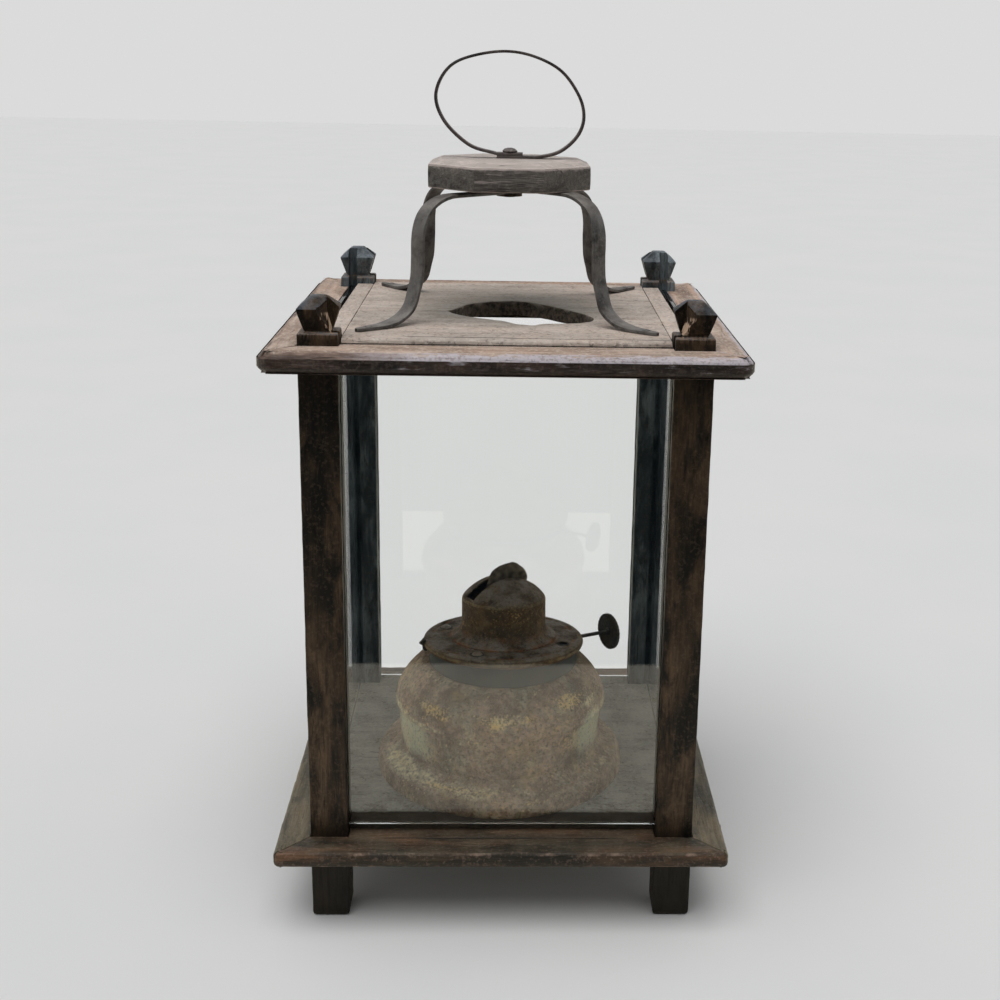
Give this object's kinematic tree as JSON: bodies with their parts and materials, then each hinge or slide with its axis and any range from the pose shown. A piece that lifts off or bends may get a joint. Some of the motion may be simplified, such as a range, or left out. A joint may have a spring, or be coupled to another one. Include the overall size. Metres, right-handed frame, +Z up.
{
  "type": "oil lantern",
  "caption": "Square wooden cage lantern with sliding glass panes, finials, a smoke hole and an iron carrying handle, holding a flat-wick oil lamp with a deflector burner",
  "frame": {"origin": "middle of the square that the four feet stand on, at the level of their soles", "axes": "+Z up, -Y the front with the lamp nearest to it, +X to the right of someone facing the front"},
  "size_m": [0.24, 0.24, 0.4563],
  "materials": {
    "dark_wood": "old dark stain, worn pale on the edges",
    "worn_wood": "bare weathered wood, rubbed smooth",
    "iron": "forged, dark with dull rust",
    "tin": "tinned sheet, rusted and stained",
    "burner_brass": "tarnished dull brass",
    "glass": "clear old window glass",
    "wick_cotton": "woven cotton, oily and charred at the tip"
  },
  "bodies": {
    "cage": {"base_rail_front": "dark_wood", "base_rail_back": "dark_wood", "base_rail_left": "dark_wood", "base_rail_right": "dark_wood", "post_front_left": "dark_wood", "post_front_right": "dark_wood", "post_back_left": "dark_wood", "post_back_right": "dark_wood", "top_rail_front": "worn_wood", "top_rail_back": "worn_wood", "top_rail_left": "worn_wood", "top_rail_right": "worn_wood", "floor_board": "dark_wood", "roof_board": "worn_wood", "roof_strip_left": "worn_wood", "roof_strip_right": "worn_wood", "batten_front": "dark_wood", "batten_back": "dark_wood", "base_nails": "iron", "strap_arch_upper": "iron", "strap_arch_lower": "iron", "strap_nails": "iron", "handle_plate": "dark_wood", "ring_rivet": "iron", "rivet_washer": "iron"},
    "front_glass": {"pane_front": "glass"},
    "back_glass": {"pane_back": "glass"},
    "left_glass": {"pane_left": "glass"},
    "right_glass": {"pane_right": "glass"},
    "carrying_ring": {"ring": "iron"},
    "lamp": {"font_foot": "tin", "font_drum": "tin", "font_dome": "tin", "font_bottom": "tin", "filler_collar": "burner_brass"},
    "burner": {"burner_base": "burner_brass", "burner_plate": "tin", "burner_rivets": "burner_brass", "rim_tab": "tin", "wick_tube": "burner_brass"},
    "dome": {"deflector": "tin"},
    "wick_band": {"wick": "wick_cotton"},
    "wick_shaft": {"spindle": "iron", "wick_wheels": "burner_brass", "thumbwheel": "iron"}
  },
  "joints": [
    {"name": "front_pane_slide", "type": "slide", "parent": "cage", "child": "front_glass", "axis": [0, 0, 1], "range_m": [0, 0.24]},
    {"name": "back_pane_slide", "type": "slide", "parent": "cage", "child": "back_glass", "axis": [0, 0, 1], "range_m": [0, 0.24]},
    {"name": "left_pane_slide", "type": "slide", "parent": "cage", "child": "left_glass", "axis": [0, 0, 1], "range_m": [0, 0.24]},
    {"name": "right_pane_slide", "type": "slide", "parent": "cage", "child": "right_glass", "axis": [0, 0, 1], "range_m": [0, 0.24]},
    {"name": "ring_swivel", "type": "hinge", "parent": "cage", "child": "carrying_ring", "pos_m": [0, 0, 0.4], "axis": [0, 0, 1], "continuous": true},
    {"name": "lamp_slide", "type": "slide", "parent": "cage", "child": "lamp", "axis": [0, 1, 0], "range_m": [0, 0.04]},
    {"name": "burner_lift", "type": "slide", "parent": "lamp", "child": "burner", "axis": [0, 0, 1], "range_m": [0, 0.03]},
    {"name": "dome_lift", "type": "slide", "parent": "burner", "child": "dome", "axis": [0, 0.0785, 0.9969], "range_m": [0, 0.03]},
    {"name": "wick_slide", "type": "slide", "parent": "burner", "child": "wick_band", "axis": [0, 0.0785, 0.9969], "range_m": [-0.011, 0.007]},
    {"name": "shaft_turn", "type": "hinge", "parent": "burner", "child": "wick_shaft", "pos_m": [0.0018, -0.02591, 0.12414], "axis": [0.866, 0.4985, -0.0392], "range_deg": [-150, 95]}
  ],
  "couplings": [
    {"joint": "wick_slide", "follows": "shaft_turn", "m_per_rad": 0.004}
  ]
}
